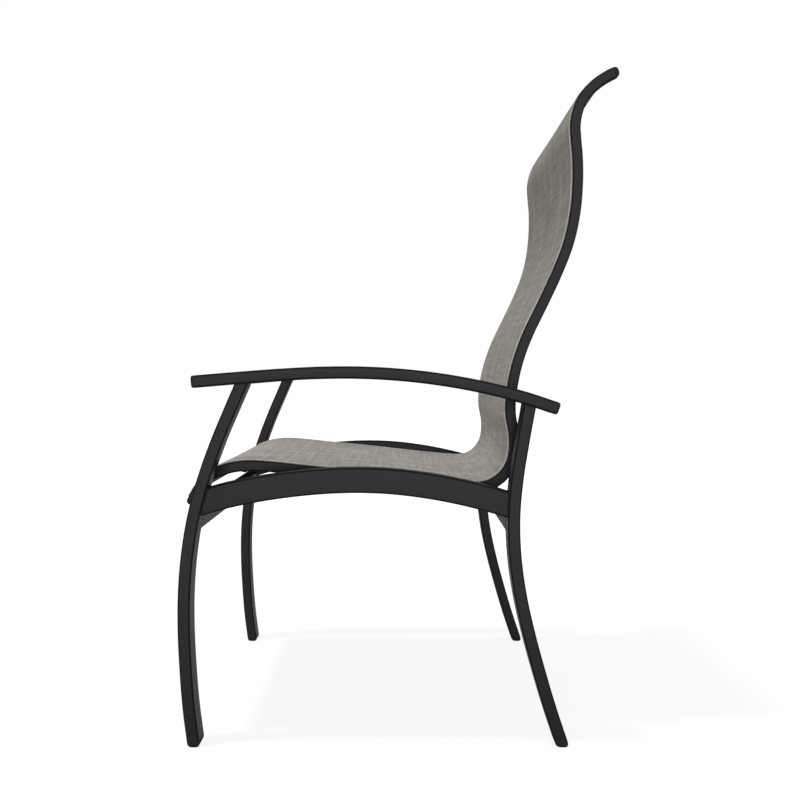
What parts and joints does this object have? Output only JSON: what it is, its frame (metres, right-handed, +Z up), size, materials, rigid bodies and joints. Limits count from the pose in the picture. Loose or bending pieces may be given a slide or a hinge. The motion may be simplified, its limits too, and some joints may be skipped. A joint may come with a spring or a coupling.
{
  "type": "sling patio chair",
  "caption": "High-back patio arm chair of bent rectangular tube, with one woven sling stretched between two curved rails.",
  "frame": {"origin": "on the floor, under the middle of the chair's box", "axes": "+X towards the sitter's left, +Y towards the back, +Z up"},
  "size_m": [0.64, 0.752, 1.1565],
  "materials": {
    "frame_coat": "black powder coat with a fine texture",
    "black_plastic": "matt black",
    "sling_fabric": "coated yarn in heathered warm grey, plain weave",
    "rod_plastic": "plain",
    "plain_steel": "plain"
  },
  "bodies": {
    "root": {"front_leg_left": "frame_coat", "rear_leg_left": "frame_coat", "arm_left": "frame_coat", "side_panel_left": "frame_coat", "sling_rail_left": "frame_coat", "foot_glide_front_left": "black_plastic", "foot_glide_rear_left": "black_plastic", "arm_end_cap_front_left": "black_plastic", "arm_end_cap_rear_left": "black_plastic", "rail_end_cap_front_left": "black_plastic", "rail_end_cap_top_left": "black_plastic", "rail_spacer_seat_left": "black_plastic", "rail_spacer_back_left": "black_plastic", "spline_rod_left": "rod_plastic", "rail_bolt_seat_left": "plain_steel", "rail_washer_seat_left": "plain_steel", "threaded_insert_seat_left": "plain_steel", "rail_bolt_back_left": "plain_steel", "rail_washer_back_left": "plain_steel", "threaded_insert_back_left": "plain_steel", "front_leg_right": "frame_coat", "rear_leg_right": "frame_coat", "arm_right": "frame_coat", "side_panel_right": "frame_coat", "sling_rail_right": "frame_coat", "foot_glide_front_right": "black_plastic", "foot_glide_rear_right": "black_plastic", "arm_end_cap_front_right": "black_plastic", "arm_end_cap_rear_right": "black_plastic", "rail_end_cap_front_right": "black_plastic", "rail_end_cap_top_right": "black_plastic", "rail_spacer_seat_right": "black_plastic", "rail_spacer_back_right": "black_plastic", "spline_rod_right": "rod_plastic", "rail_bolt_seat_right": "plain_steel", "rail_washer_seat_right": "plain_steel", "threaded_insert_seat_right": "plain_steel", "rail_bolt_back_right": "plain_steel", "rail_washer_back_right": "plain_steel", "threaded_insert_back_right": "plain_steel", "front_stretcher": "frame_coat", "rear_stretcher": "frame_coat", "sling": "sling_fabric", "seat_spreader_bar": "frame_coat", "back_spreader_bar": "frame_coat"}
  },
  "joints": []
}
